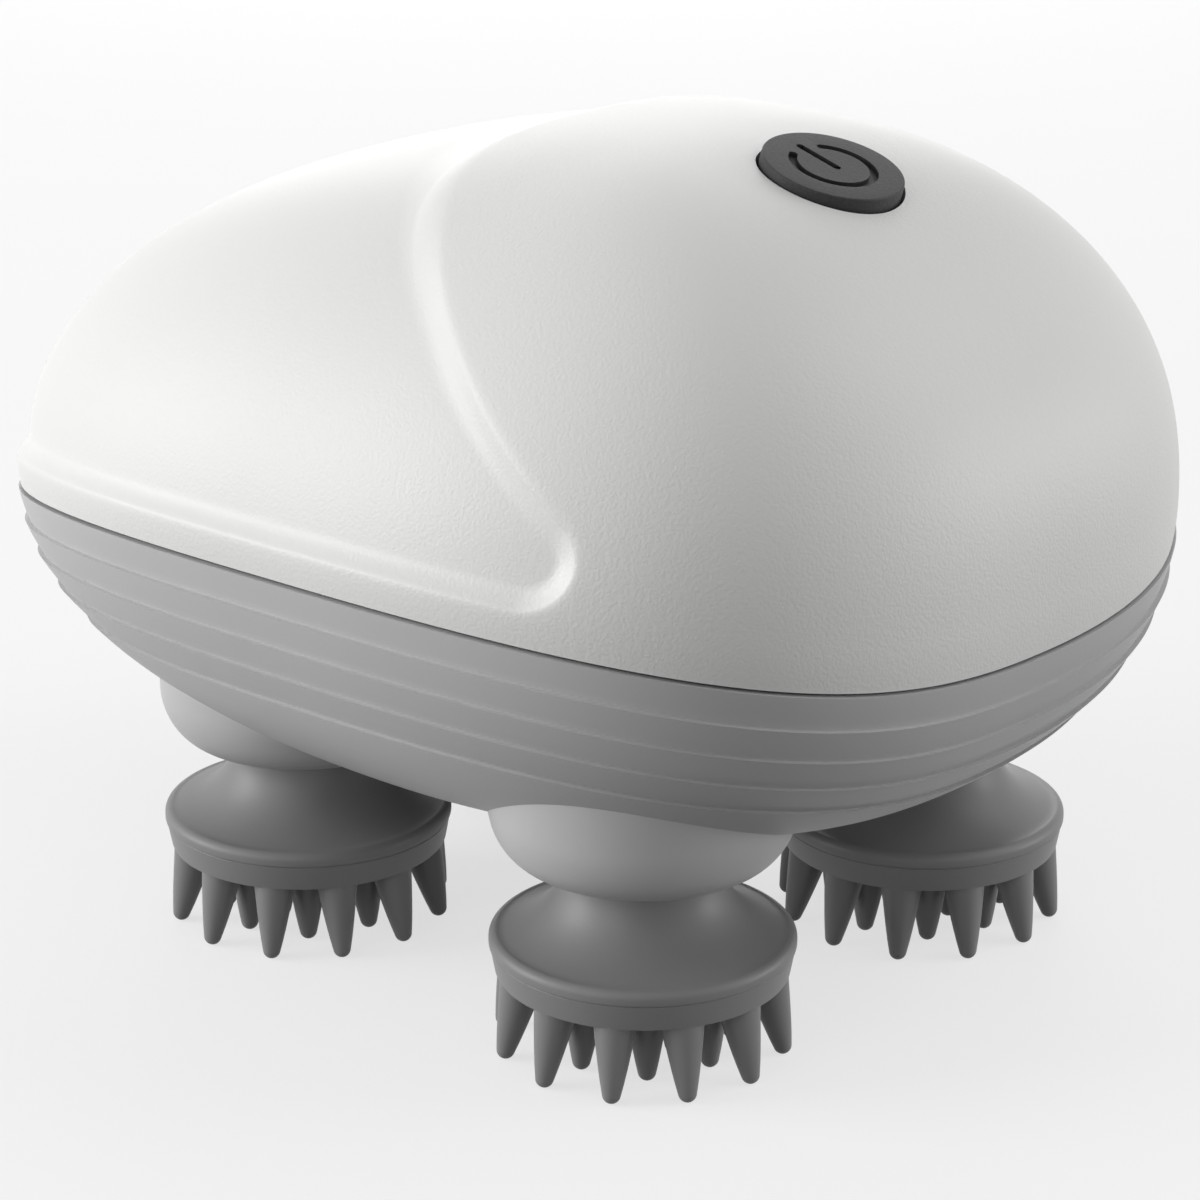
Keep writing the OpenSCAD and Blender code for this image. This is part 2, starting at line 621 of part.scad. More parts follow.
// ---- Heads: 0 front left, 1 front right, 2 rear left, 3 rear right -----------
module spindle(i) color(steel) at(head_place(i)) rod(spindle_r, 12.2, plate_z + 1.6);

module spindle_gear(i) color(acetal) at(head_place(i)) difference() {
  union() {
    gear(spindle_teeth, head_module, gear_z, gear_t, head_slack,
      mesh_turn(spindle_teeth, centre_teeth, 0, head_angles[i]));
    rod(4, gear_z + gear_t - eps, plate_z - 0.2);
  }
  rod(spindle_r + 0.01, gear_z - 1, plate_z + 1);
}

module bush(i) color("peru") at(head_place(i)) difference() {
  union() {
    rod(bush_r - 0.01, boss_z + 3.1, 36.01);
    rod(6.5, 36.01, 36.8);
  }
  rod(spindle_r + running, boss_z, 38);
}

// Lip seal: a ring with a groove above its lip
module seal(i) color(black_rubber) at(head_place(i)) rotate_extrude() polygon([
  [spindle_r + running, boss_z + 0.2], [3.2, boss_z + 0.2], [3.6, boss_z + 1],
  [seal_r - 0.02, boss_z + 0.2], [seal_r - 0.02, boss_z + 2.98], [3.2, boss_z + 2.98],
  [3.2, boss_z + 1.6], [spindle_r + running, boss_z + 0.8]]);

core_r = 13.4;
core_top = 12;
hub_r = 5.6;
module head_core(i) color("darkslategray") at(head_place(i)) difference() {
  union() {
    rod(core_r, parting_z, core_top);
    rod(hub_r, parting_z, neck_top - 0.2);
  }
  rod(spindle_r + 0.01, 12.19, neck_top + 1);
}

// The skin flares from the neck to the rim in a hollow curve with a rounded edge
flare_x = 14.7;       // middle of the flare's elliptical arc
flare_z = 19.6;
rim_top = 12.5;
edge_r = 1.2;
module head_skin(i) color(head_grey) at(head_place(i)) rotate_extrude() polygon(concat(
  [[core_r + 0.01, parting_z], [rim_r - 0.25, parting_z], [rim_r, parting_z + 0.3]],
  [for (a = [0:18:90]) [rim_r - edge_r + edge_r * cos(a), rim_top - edge_r + edge_r * sin(a)]],
  [for (a = [-80:10:0]) [
    flare_x - (flare_x - neck_r) * cos(a),
    flare_z + (flare_z - rim_top) * sin(a)]],
  [[neck_r, neck_top], [hub_r + 0.01, neck_top], [hub_r + 0.01, core_top + 0.01],
    [core_r + 0.01, core_top + 0.01]]));

// A tine is a cone with a ball end that touches the floor at a given radius and leans
// outwards from its foot on the pad
tine_foot_r = 2.05;
tine_tip_r = 0.82;
pad_r = 14.8;
function lean_of(tip, foot) = atan((tip - foot) / (pad_z - tine_tip_r));
module tine(tip, foot) {
  lean = lean_of(tip, foot);
  reach = (pad_z - tine_tip_r) / cos(lean) + 0.8;
  slope = asin((tine_foot_r - tine_tip_r) / reach);
  translate([tip, 0, tine_tip_r]) rotate([0, -lean, 0]) {
    sphere(r = tine_tip_r);
    translate([0, 0, -tine_tip_r * sin(slope)])
      cylinder(h = reach + tine_tip_r * sin(slope), r1 = tine_tip_r * cos(slope), r2 = tine_foot_r);
  }
}
// Rings of tines: number, tip radius and foot radius
tine_rings = [[outer_tines, 14.35, pad_r - tine_foot_r - 0.05], [8, 9, 8.6], [4, 4.2, 4.2]];
module tine_pad(i) color(head_grey) at(head_place(i)) {
  rod(pad_r, pad_z, parting_z - 0.01);
  for (ring = tine_rings, k = [0:ring[0] - 1])
    rotate([0, 0, k * 360 / ring[0]]) tine(ring[1], ring[2]);
}

upper_shell();
lower_shell();
seam_gasket();
power_button();
button_seal();
tact_switch();
circuit_board();
board_screws();
battery_cell();
motor_can();
motor_shaft();
motor_pinion();
motor_screws();
gearbox_plate();
plate_screws();
case_screws();
charge_contacts();
centre_axle();
centre_gear();
idler_axle();
idler_gear();
spindle(0);  // front_left_spindle
spindle_gear(0);  // front_left_spindle_gear
bush(0);  // front_left_bush
seal(0);  // front_left_seal
head_core(0);  // front_left_head_core
head_skin(0);  // front_left_head_skin
tine_pad(0);  // front_left_tine_pad
spindle(1);  // front_right_spindle
spindle_gear(1);  // front_right_spindle_gear
bush(1);  // front_right_bush
seal(1);  // front_right_seal
head_core(1);  // front_right_head_core
head_skin(1);  // front_right_head_skin
tine_pad(1);  // front_right_tine_pad
spindle(2);  // rear_left_spindle
spindle_gear(2);  // rear_left_spindle_gear
bush(2);  // rear_left_bush
seal(2);  // rear_left_seal
head_core(2);  // rear_left_head_core
head_skin(2);  // rear_left_head_skin
tine_pad(2);  // rear_left_tine_pad
spindle(3);  // rear_right_spindle
spindle_gear(3);  // rear_right_spindle_gear
bush(3);  // rear_right_bush
seal(3);  // rear_right_seal
head_core(3);  // rear_right_head_core
head_skin(3);  // rear_right_head_skin
tine_pad(3);  // rear_right_tine_pad
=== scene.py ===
"""Electric scalp massager: its looks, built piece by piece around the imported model.

The nose points along -X and +Z is up. A piece's sizes are in millimetres until `finish_mesh`.
"""
import json
import math

import bmesh
import bpy
import numpy as np
from mathutils import Euler, Matrix, Vector


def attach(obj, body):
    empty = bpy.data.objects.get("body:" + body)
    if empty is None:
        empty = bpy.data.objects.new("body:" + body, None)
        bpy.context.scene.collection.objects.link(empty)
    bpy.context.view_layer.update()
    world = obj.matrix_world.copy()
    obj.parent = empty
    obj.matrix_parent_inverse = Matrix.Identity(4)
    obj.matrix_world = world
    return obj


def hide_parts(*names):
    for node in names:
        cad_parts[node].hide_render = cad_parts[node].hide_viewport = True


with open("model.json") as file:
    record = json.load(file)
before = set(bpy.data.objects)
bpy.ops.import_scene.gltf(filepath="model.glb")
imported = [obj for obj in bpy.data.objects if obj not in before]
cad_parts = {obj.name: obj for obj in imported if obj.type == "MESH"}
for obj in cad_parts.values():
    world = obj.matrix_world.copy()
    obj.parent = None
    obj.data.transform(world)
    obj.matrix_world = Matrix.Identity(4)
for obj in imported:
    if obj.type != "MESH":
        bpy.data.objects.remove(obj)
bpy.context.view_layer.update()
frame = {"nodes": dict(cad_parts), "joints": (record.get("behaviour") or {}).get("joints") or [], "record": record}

# ---- Camera -----------------------------------------------------------------
# It looks down on the left side of the back end, at the photograph's angle, through
# a long lens from a little under half a metre.
camera_azimuth = 42.76
camera_elevation = 19.77
camera_place = Vector((0.2593, -0.2749, 0.1692))     # in metres, as lamps and patterns are
camera_lens = bpy.data.cameras.new("camera")
camera_lens.sensor_width = 36
camera_lens.lens = 112.35
camera_lens.clip_start = 0.01
camera = bpy.data.objects.new("camera", camera_lens)
camera.location = camera_place
camera.rotation_euler = Euler(
    (math.radians(90 - camera_elevation), 0, math.radians(camera_azimuth)))
bpy.context.scene.collection.objects.link(camera)
bpy.context.scene.camera = camera
to_right, to_up, to_camera = camera.rotation_euler.to_matrix().col

# ---- Floor, backdrop and light ----------------------------------------------
# A flat white sheet of paper that shows as white and keeps the massager's soft shadow,
# under five large soft lamps, the strongest at the camera's left.
scene = bpy.context.scene
scene.view_settings.view_transform = "Standard"


def linear(colour):
    """Linear values of an sRGB hex colour."""
    parts = [int(colour[i:i + 2], 16) / 255 for i in (1, 3, 5)]
    return tuple(c / 12.92 if c <= 0.04045 else ((c + 0.055) / 1.055) ** 2.4 for c in parts) + (1,)


def add_node(tree, kind, sockets, **settings):
    """A new node: sockets gives each input a value, or the output it is linked from."""
    new = tree.nodes.new(kind)
    for key, value in settings.items():
        setattr(new, key, value)
    for key, value in sockets.items():
        if isinstance(value, bpy.types.NodeSocket):
            tree.links.new(value, new.inputs[key])
        else:
            new.inputs[key].default_value = value
    return new


def start_material(name):
    """An empty material and the output of its object coordinates, in metres."""
    material = bpy.data.materials.new(name)
    material.use_nodes = True
    material.node_tree.nodes.clear()
    place = add_node(material.node_tree, "ShaderNodeTexCoord", {})
    return material, material.node_tree, place.outputs["Object"]


def shows_white(tree):
    """A value of 1 for rays of the camera, of gloss and of glass."""
    path = add_node(tree, "ShaderNodeLightPath", {})
    seen = add_node(tree, "ShaderNodeMath", {
        0: path.outputs["Is Camera Ray"], 1: path.outputs["Is Glossy Ray"]}, operation="ADD")
    return add_node(tree, "ShaderNodeMath", {
        0: seen.outputs[0], 1: path.outputs["Is Transmission Ray"]},
        operation="ADD", use_clamp=True).outputs[0]


room_light = 0.36
world = bpy.data.worlds.new("studio")
world.use_nodes = True
world.node_tree.nodes.clear()
room = add_node(world.node_tree, "ShaderNodeBackground", {
    "Color": linear("#FFFFFF"), "Strength": room_light})
backdrop = add_node(world.node_tree, "ShaderNodeBackground", {
    "Color": linear("#FFFFFF"), "Strength": 1})
either = add_node(world.node_tree, "ShaderNodeMixShader", {
    0: shows_white(world.node_tree), 1: room.outputs[0], 2: backdrop.outputs[0]})
add_node(world.node_tree, "ShaderNodeOutputWorld", {"Surface": either.outputs[0]})
scene.world = world

# The paper looks white, and throws only a modest light back on the underside
paper, paper_tree, _ = start_material("white_paper")
paper_glow_share = 0.68
paper_seen = shows_white(paper_tree)
paper_tone = add_node(paper_tree, "ShaderNodeMixRGB", {
    "Fac": paper_seen, "Color1": linear("#505050"), "Color2": linear("#F6F6F6")})
paper_sheet = add_node(paper_tree, "ShaderNodeBsdfPrincipled", {
    "Base Color": paper_tone.outputs[0], "Roughness": 0.9, "Specular IOR Level": 0.1})
paper_glow = add_node(paper_tree, "ShaderNodeEmission", {"Color": linear("#FFFFFF"), "Strength": 1})
paper_share = add_node(paper_tree, "ShaderNodeMath", {
    0: paper_seen, 1: paper_glow_share}, operation="MULTIPLY")
paper_mix = add_node(paper_tree, "ShaderNodeMixShader", {
    0: paper_share.outputs[0], 1: paper_sheet.outputs[0], 2: paper_glow.outputs[0]})
add_node(paper_tree, "ShaderNodeOutputMaterial", {"Surface": paper_mix.outputs[0]})

paper_half_width = 3
sheet = bmesh.new()
bmesh.ops.create_grid(sheet, x_segments=2, y_segments=2, size=paper_half_width)
floor_mesh = bpy.data.meshes.new("floor")
sheet.to_mesh(floor_mesh)
sheet.free()
floor = bpy.data.objects.new("floor", floor_mesh)
floor.data.materials.append(paper)
scene.collection.objects.link(floor)

middle = Vector((0, 0, 0.045))     # of the massager, at which every lamp points


def soft_lamp(name, size, power, rightward, upward, forward):
    """A square lamp, in metres and watts, at a place given along the camera's axes."""
    lamp = bpy.data.lights.new(name, "AREA")
    lamp.size = size
    lamp.energy = power
    holder = bpy.data.objects.new(name, lamp)
    holder.location = middle + rightward * to_right + upward * to_up + forward * to_camera
    holder.rotation_euler = (holder.location - middle).to_track_quat("Z", "Y").to_euler()
    scene.collection.objects.link(holder)


soft_lamp("left_lamp", 0.45, 4.1, -0.75, 0.16, 0.1)
soft_lamp("low_front_lamp", 0.3, 0.5, -0.45, -0.02, 0.6)
soft_lamp("back_top_lamp", 0.5, 1.8, 0, 0.5, -0.6)
soft_lamp("right_lamp", 0.3, 2.1, 0.75, 0.02, 0)
soft_lamp("right_top_lamp", 0.4, 0.8, 0.5, 0.5, 0.2)

# ---- Upper shell ------------------------------------------------------------
# White ABS housing, moulded in one piece in a tool with a fine leather grain. A saddle
# is sunk into its nose, behind a crisp crest on both sides that fades over the crown.
body_length = 125.8
half_width = 48
crown_x, crown_z = 18.1, 88.1
widest_x = 2.4
seam_z, seam_rise, seam_climb = 41.6, 7.8, 3.4
back_x, nose_x = body_length / 2, -body_length / 2
# Exponents of the superellipses: each ring's outline, and how it closes towards the crown
back_square, nose_square = 2.95, 2.43
back_rise, back_round = 2.6, 2.08
nose_rise, nose_round = 2.04, 1.89
side_rise, side_round = 1.84, 2.74
belly_share = 0.1     # of the height, upright before the shell starts to close
seam_undercut = 0.27
wall = 2.3


def sign_pow(value, power):
    """A power that keeps the value's sign."""
    return np.sign(value) * np.abs(value) ** power


def ring_point(angle, middle_x, back, nose, side, square=None):
    """Place on an egg-shaped ring with its own reach to the back, nose and side."""
    c = np.cos(angle)
    if square is None:
        square = np.where(c > 0, back_square, nose_square)
    x = middle_x + np.where(c > 0, back, nose) * sign_pow(c, 2 / square)
    return x, side * sign_pow(np.sin(angle), 2 / square)


def seam_lift(x, y):
    """Height of the seam over seam_z: it rises to both sides and climbs to the back."""
    return seam_rise * (y / half_width) ** 2 + seam_climb * x / body_length


def edge_lift(angle):
    """The seam's lift at an angle round the shells' widest ring."""
    return seam_lift(*ring_point(angle, widest_x, back_x - widest_x, widest_x - nose_x, half_width))


def taper(share, rise, rounding):
    """A superelliptic fall from 1 to 0 as the share goes from 0 to 1."""
    return np.maximum(0, 1 - share ** rise) ** (1 / rounding)


def upper_base(angle, level):
    """Point of the shell before the saddle is sunk; level runs from seam to crown."""
    t = np.maximum(0, (level - belly_share) / (1 - belly_share))
    tuck = seam_undercut * (np.maximum(0, belly_share - level) / belly_share) ** 2
    back = crown_x + (back_x - crown_x) * taper(t, back_rise, back_round) - tuck
    nose = crown_x - (crown_x - nose_x) * taper(t, nose_rise, nose_round) + tuck
    mid = widest_x * (1 - t * t) + crown_x * t * t
    side = half_width * taper(t, side_rise, side_round) - tuck
    x, y = ring_point(angle, mid, back - mid, mid - nose, side)
    z = seam_z + (crown_z - seam_z) * level + edge_lift(angle) * (1 - level) ** 2
    return np.stack(np.broadcast_arrays(x, y, z), -1)


def upper_normal(angle, level):
    """Outward normal, from points a small turn and a small level apart."""
    turn, rise, last_level = 0.009, 0.002, 0.9995
    around = upper_base(angle + turn, level) - upper_base(angle - turn, level)
    up = upper_base(angle, np.minimum(level + rise, last_level)) - upper_base(
        angle, np.maximum(level - rise, 0))
    normal = np.cross(around, up)
    return normal / np.linalg.norm(normal, axis=-1, keepdims=True)


# The saddle lies below a straight crest line, seen from the side, and above a rim that
# follows the seam; an arc joins the two.
saddle_depth = 1.5
crest_slope = math.radians(37)
crest_x, crest_z = 31.5, 67.1
rim_height = 3.5
saddle_corner = 5
side_flank, crown_flank = 2.1, 3.2     # width of the slope from the crest down to the saddle
flank_widens_z = 52
crest_softens_z, crest_end_z = 74, 86
crest_edge = 0.25     # how softly the crest turns over
inner_lead = 4        # how far ahead of the crest the inner face starts to sink


def smooth(value):
    """An even ease from 0 to 1."""
    t = np.clip(value, 0, 1)
    return t * t * (3 - 2 * t)


def saddle_reach(point):
    """How far a point lies inside the saddle's edge."""
    x, y, z = np.moveaxis(point, -1, 0)
    c = -(x - crest_x) * math.sin(crest_slope) - (z - crest_z) * math.cos(crest_slope)
    r = z - seam_z - seam_lift(x, y) - rim_height
    dc, dr = saddle_corner - c, saddle_corner - r
    toward = dc + dr * math.cos(crest_slope)
    across = dr + dc * math.cos(crest_slope)
    arc = saddle_corner - np.hypot(dr, toward / math.sin(crest_slope))
    return np.where((toward > 0) & (across > 0), arc, np.minimum(c, r))


def flank_width(z):
    share = smooth((z - flank_widens_z) / (crest_end_z - flank_widens_z))
    return side_flank + (crown_flank - side_flank) * share


def inward(point, normal, depth, level):
    """The point moved inwards, along a normal that lies level at the seam."""
    seam_zone = 1 / 8
    normal[..., 2] *= np.minimum(1, level / seam_zone)
    return point - depth[..., None] * normal


def upper_outer(angle, level):
    """Point of the shell's outer face, with the saddle sunk into it."""
    point, normal = upper_base(angle, level), upper_normal(angle, level)
    z = point[..., 2]
    reach = saddle_reach(point)
    inside = (reach + np.hypot(reach, crest_edge)) / 2
    t = np.clip(inside / flank_width(z), 0, 1)
    # A crisp crest with a soft foot on the side becomes a soft one with a crisp foot on top
    k = smooth((z - crest_softens_z) / (crest_end_z - crest_softens_z))
    sink = saddle_depth * ((1 - k) * t * (2 - t) + k * t * t)
    return inward(point, normal, sink, level)


def upper_inner(angle, level):
    """Point of the shell's inner face, which sinks a little ahead of the crest."""
    point, normal = upper_base(angle, level), upper_normal(angle, level)
    sink = saddle_depth * smooth((saddle_reach(point) + inner_lead) / inner_lead)
    return inward(point, normal, wall + sink, level)


# Each column of the mesh sets its rows on the rim, the crest and their feet, so that the
# faces follow the saddle's edges, and the columns bunch at the saddle's two corners.
low_levels = np.arange(0.14, 0.3401, 0.005)     # the saddle is deepest among these
pole_level = 0.99999                            # just short of the crown's single point


def low_reaches(angle):
    return saddle_reach(upper_base(angle[:, None], low_levels[None, :]))


def find_level(angle, wanted, low, high, rising):
    """Level between low and high where the reach passes a depth, found by halving."""
    low, high = low + np.zeros(len(angle)), high + np.zeros(len(angle))
    for _ in range(18):
        mid = (low + high) / 2
        left = (saddle_reach(upper_base(angle, mid)) > wanted) == rising
        high, low = np.where(left, mid, high), np.where(left, low, mid)
    return (low + high) / 2


def saddle_levels(angle):
    """Levels of the rim, its foot, the crest's foot and the crest, a least space apart."""
    deep = low_levels[np.argmax(low_reaches(angle), axis=1)]
    space = 0.012
    rim = find_level(angle, 0, 0, deep, True)
    foot = np.minimum(find_level(angle, side_flank, 0, deep, True), deep - space)
    crest = find_level(angle, 0, deep, 0.999, False)
    width = flank_width(upper_base(angle, crest)[:, 2])
    shelf = np.maximum(find_level(angle, width, deep, crest, False), deep + space)
    return np.stack([np.minimum(rim, foot - space), foot, shelf, np.maximum(crest, shelf + space)], 1)


# The saddle's corner is the angle, from the back, at which a column first enters it
corner_low, corner_high = math.radians(45), math.radians(80)
for _ in range(20):
    corner_angle = (corner_low + corner_high) / 2
    if low_reaches(np.array([corner_angle])).max() > 0:
        corner_high = corner_angle
    else:
        corner_low = corner_angle

fine_step, plain_step = math.radians(0.25), math.radians(0.95)
before_corner, after_corner = fine_step * 4, math.radians(9)


def spread(start, end, step):
    return np.linspace(start, end, round((end - start) / step), endpoint=False)


half_turn = np.concatenate([
    spread(0, corner_angle - before_corner, plain_step),
    spread(corner_angle - before_corner, corner_angle + after_corner, fine_step),
    spread(corner_angle + after_corner, math.pi, plain_step)])
columns = np.concatenate([half_turn, [math.pi], 2 * math.pi - half_turn[:0:-1]])
from_back = np.minimum(columns, 2 * math.pi - columns)
# Behind the corner there is no saddle, and the rows ease out to evenly spaced ones
plain_levels = np.array([0.12, 0.18, 0.31, 0.41])
ease_zone = math.radians(25)
corner_levels = saddle_levels(np.array([corner_angle]))[0]
plain_share = smooth((corner_angle - from_back) / ease_zone)[:, None]
edges = np.where(from_back[:, None] > corner_angle,
                 saddle_levels(columns),
                 corner_levels + (plain_levels - corner_levels) * plain_share)


def between(start, end, shares):
    """Rows at shares of the way from one level of each column to another."""
    return start[:, None] + (end - start)[:, None] * np.array(shares)[None, :]


seam_row, rim_row, foot_row, shelf_row, crest_row = np.zeros(len(columns)), *edges.T
saddle_rows, crown_rows = 40, 52
crown_crowding = 1.9     # the rows crowd towards the crown, where the shell flattens
levels = np.concatenate([
    between(seam_row, rim_row, [0, 0.1, 0.25, 0.45, 0.65, 0.82, 0.92, 0.97]),
    between(rim_row, foot_row, [0, 0.06, 0.14, 0.25, 0.4, 0.6, 0.8]),
    between(foot_row, shelf_row, np.linspace(0, 1, saddle_rows, endpoint=False)),
    between(shelf_row, crest_row, [0, 0.2, 0.4, 0.6, 0.75, 0.86, 0.94, 1]),
    1 - (1 - crest_row)[:, None] * (1 - np.linspace(0, 1, crown_rows + 1)[1:]) ** crown_crowding],
    axis=1)
levels[:, -1] = pole_level
inner_levels = np.array([0, 0.03, 0.08, 0.15, 0.22, 0.3, 0.4, 0.5, 0.6, 0.7, 0.79, 0.87, 0.93, 0.97,
                         0.99, 0.999, pole_level])


to_metres = 0.001


def finish_mesh(bm, name):
    """A mesh in metres from a bmesh in millimetres, smooth but for its sharp edges."""
    bmesh.ops.scale(bm, vec=(to_metres, to_metres, to_metres), verts=bm.verts)
    mesh = bpy.data.meshes.new(name)
    bm.to_mesh(mesh)
    bm.free()
    mesh.shade_smooth()
    mesh.set_sharp_from_angle(angle=math.radians(40))
    return mesh


def closed(bm):
    """The bmesh with its doubled points merged and its faces pointing outwards."""
    bmesh.ops.remove_doubles(bm, verts=bm.verts, dist=1e-5)
    bmesh.ops.recalc_face_normals(bm, faces=bm.faces)
    return bm


def closed_skin(rings):
    """A grid wrapped on rings of points; the end rings are poles, or one and the same."""
    rings = np.concatenate([rings, rings[:, :1]], axis=1)
    rows, across = rings.shape[:2]
    bm = bmesh.new()
    bmesh.ops.create_grid(bm, x_segments=across - 1, y_segments=rows - 1, size=1)
    for corner, point in zip(bm.verts, rings.reshape(-1, 3)):
        corner.co = point
    return closed(bm)


def turned(profile, steps=96):
    """A solid turned from a profile of radius and height, about Z."""
    bm = bmesh.new()
    points = [bm.verts.new((r, 0, z)) for r, z in profile]
    line = [bm.edges.new(pair) for pair in zip(points, points[1:])]
    bmesh.ops.spin(bm, geom=points + line, cent=(0, 0, 0), axis=(0, 0, 1), angle=2 * math.pi,
                   steps=steps, use_merge=True)
    return closed(bm)


def join_or_cut(body, tool, operation):
    """Joins a tool to a solid, or cuts it away; both are bmeshes, and both are used up."""
    meshes = []
    for solid in (body, tool):
        meshes.append(bpy.data.meshes.new("working"))
        solid.to_mesh(meshes[-1])
        solid.free()
    holder, other = (bpy.data.objects.new("working", mesh) for mesh in meshes)
    for thing in (holder, other):
        scene.collection.objects.link(thing)
    step = holder.modifiers.new("boolean", "BOOLEAN")
    step.object = other
    step.operation = operation
    step.solver = "MANIFOLD"
    graph = bpy.context.evaluated_depsgraph_get()
    result = bmesh.new()
    result.from_object(holder, graph)
    for thing in (holder, other):
        bpy.data.objects.remove(thing)
    for mesh in meshes:
        bpy.data.meshes.remove(mesh)
    return result


def rod(radius, low, high, steps=64):
    """A cylinder about Z, from one height to another."""
    return turned([(0, low), (radius, low), (radius, high), (0, high)], steps)


def moved(bm, x=0, y=0, z=0):
    bmesh.ops.translate(bm, vec=(x, y, z), verts=bm.verts)
    return bm


def about_z(bm, turn):
    bmesh.ops.rotate(bm, cent=(0, 0, 0), matrix=Matrix.Rotation(turn, 3, "Z"), verts=bm.verts)
    return bm


def show(name, mesh, body, slot, material, *nodes):
    """A finished piece that rides on a body and stands for the nodes."""
    piece = bpy.data.objects.new(name, mesh)
    piece.data.materials.append(material)
    scene.collection.objects.link(piece)
    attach(piece, body)
    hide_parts(*nodes)


# The button's own frame: its origin lies on the dome and its axis is the dome's normal.
button_x = 35.5
hole_r, hole_low, hole_high = 7.45, -8, 6


def crown_profile(x):
    """Height of the shell's middle line behind the crown."""
    share = (x - crown_x) / (back_x - crown_x)
    t = (1 - share ** back_round) ** (1 / back_rise)
    return seam_z + (crown_z - seam_z) * (belly_share + (1 - belly_share) * t)


button_tilt = math.atan((crown_profile(button_x - 1) - crown_profile(button_x + 1)) / 2)
button_place = Matrix.Translation((button_x, 0, crown_profile(button_x))) @ Matrix.Rotation(
    button_tilt, 4, "Y")

outer_rows = upper_outer(columns[None, :], levels.T)
inner_rows = upper_inner(columns[None, :], inner_levels[::-1, None] + 0 * columns[None, :])
outer_rows[-1] = (crown_x, 0, crown_z)
inner_rows[0] = (crown_x, 0, crown_z - wall)
skin = closed_skin(np.concatenate([inner_rows, outer_rows]))
hole = rod(hole_r, hole_low, hole_high, 128)
hole.transform(button_place)
skin = join_or_cut(skin, hole, "DIFFERENCE")

# Satin white with a leather grain of about a third of a millimetre, whose pebbles wander
# a little, and faint waves of three centimetres in its white and its gloss
white_abs, tree, place = start_material("white_abs_moulded_with_leather_grain")
grain_pitch, grain_depth, grain_wander = 0.00034, 0.00003, 0.0006
waves_per_metre = 30
grain_warp = add_node(tree, "ShaderNodeTexNoise", {
    "Vector": place, "Scale": 0.5 / grain_pitch, "Detail": 2, "Roughness": 0.6})
warped = add_node(tree, "ShaderNodeMixRGB", {
    "Fac": grain_wander, "Color1": place, "Color2": grain_warp.outputs["Color"]}, blend_type="ADD")
pebbles = add_node(tree, "ShaderNodeTexVoronoi", {
    "Vector": warped.outputs[0], "Scale": 1 / grain_pitch, "Smoothness": 0.8}, feature="SMOOTH_F1")
grain = add_node(tree, "ShaderNodeBump", {
    "Strength": 1, "Distance": grain_depth, "Height": pebbles.outputs["Distance"]}, invert=True)
wave = add_node(tree, "ShaderNodeTexNoise", {"Vector": place, "Scale": waves_per_metre, "Detail": 3})
tone = add_node(tree, "ShaderNodeMixRGB", {
    "Fac": wave.outputs["Fac"], "Color1": linear("#ECECEA"), "Color2": linear("#F0F0EF")})
gloss = add_node(tree, "ShaderNodeMapRange", {
    "Value": wave.outputs["Fac"], "To Min": 0.46, "To Max": 0.54})
shader = add_node(tree, "ShaderNodeBsdfPrincipled", {
    "Base Color": tone.outputs[0], "Roughness": gloss.outputs[0], "Normal": grain.outputs[0],
    "IOR": 1.53, "Specular IOR Level": 0.5})
add_node(tree, "ShaderNodeOutputMaterial", {"Surface": shader.outputs[0]})
show("upper_shell_housing", finish_mesh(skin, "upper_shell_housing"), "housing", "white_abs",
     white_abs, "upper_shell")

# ---- Lower shell ------------------------------------------------------------
# Light grey ABS bowl, moulded with stepped bands, that closes the housing from below. Four
# round bosses under it carry the heads, and its screws go up into the upper shell.
floor_z = 22
bowl_inset_back, bowl_inset_nose, bowl_inset_side = 28.2, 21.3, 26.4
bowl_rise, bowl_round = 1.93, 2.36
back_ease, nose_ease = 0.75, 0.46     # how much rounder the rings are at the underside
seam_gap = 0.35
first_ledge, ledge_spacing, ledge_count = 3.95, 3.55, 4
band_step = 0.5                       # how far each band stands proud of the one above it


def bowl_point(angle, share, inset, bottom):
    """Point of the bowl at a share of the way from seam to underside."""
    c = np.cos(angle)
    closing = 1 - taper(share, bowl_rise, bowl_round)
    x_inset = inset + seam_undercut + np.where(c > 0, bowl_inset_back, bowl_inset_nose) * closing
    y_inset = inset + seam_undercut + bowl_inset_side * closing
    square = np.where(c > 0, back_square - back_ease * share ** 2, nose_square - nose_ease * share ** 2)
    x, y = ring_point(angle, widest_x, back_x - widest_x - x_inset,
                      widest_x - nose_x - x_inset, half_width - y_inset, square)
    z = (seam_z + edge_lift(angle)) * (1 - share) + bottom * share
    return np.stack(np.broadcast_arrays(x, y, z), -1)


# A band leans out downwards by half a step to each side of the bowl's smooth curve
bowl_rings = []
full_height = seam_z + edge_lift(columns) - floor_z
ledge_depths = [first_ledge + ledge_spacing * i for i in range(ledge_count)]
band_tops = [seam_gap] + ledge_depths[:-1]
for top, bottom in zip(band_tops, ledge_depths):
    for depth in (top + 0.02, top + 0.1, top + 0.35, top + 1.2, bottom - 1.2, bottom - 0.3,
                  bottom - 0.1, bottom - 0.02):
        down = (depth - top) / (bottom - top)
        bowl_rings.append(bowl_point(columns, depth / full_height, band_step * (down - 0.5), floor_z))
last_share = ledge_depths[-1] / full_height
below_ledge, plain_bowl, round_edge = (
    [0.004, 0.012, 0.03], np.linspace(0.06, 0.9, 28), 1 - np.geomspace(0.08, 0.004, 8))
for s in np.concatenate([below_ledge, plain_bowl, round_edge]):
    bowl_rings.append(bowl_point(
        columns, last_share + (1 - last_share) * s, -(1 - s) * band_step / 2, floor_z))
floor_middle = np.array([widest_x, 0, floor_z])
floor_edge = bowl_rings[-1] * [1, 1, 0] + [0, 0, floor_z]
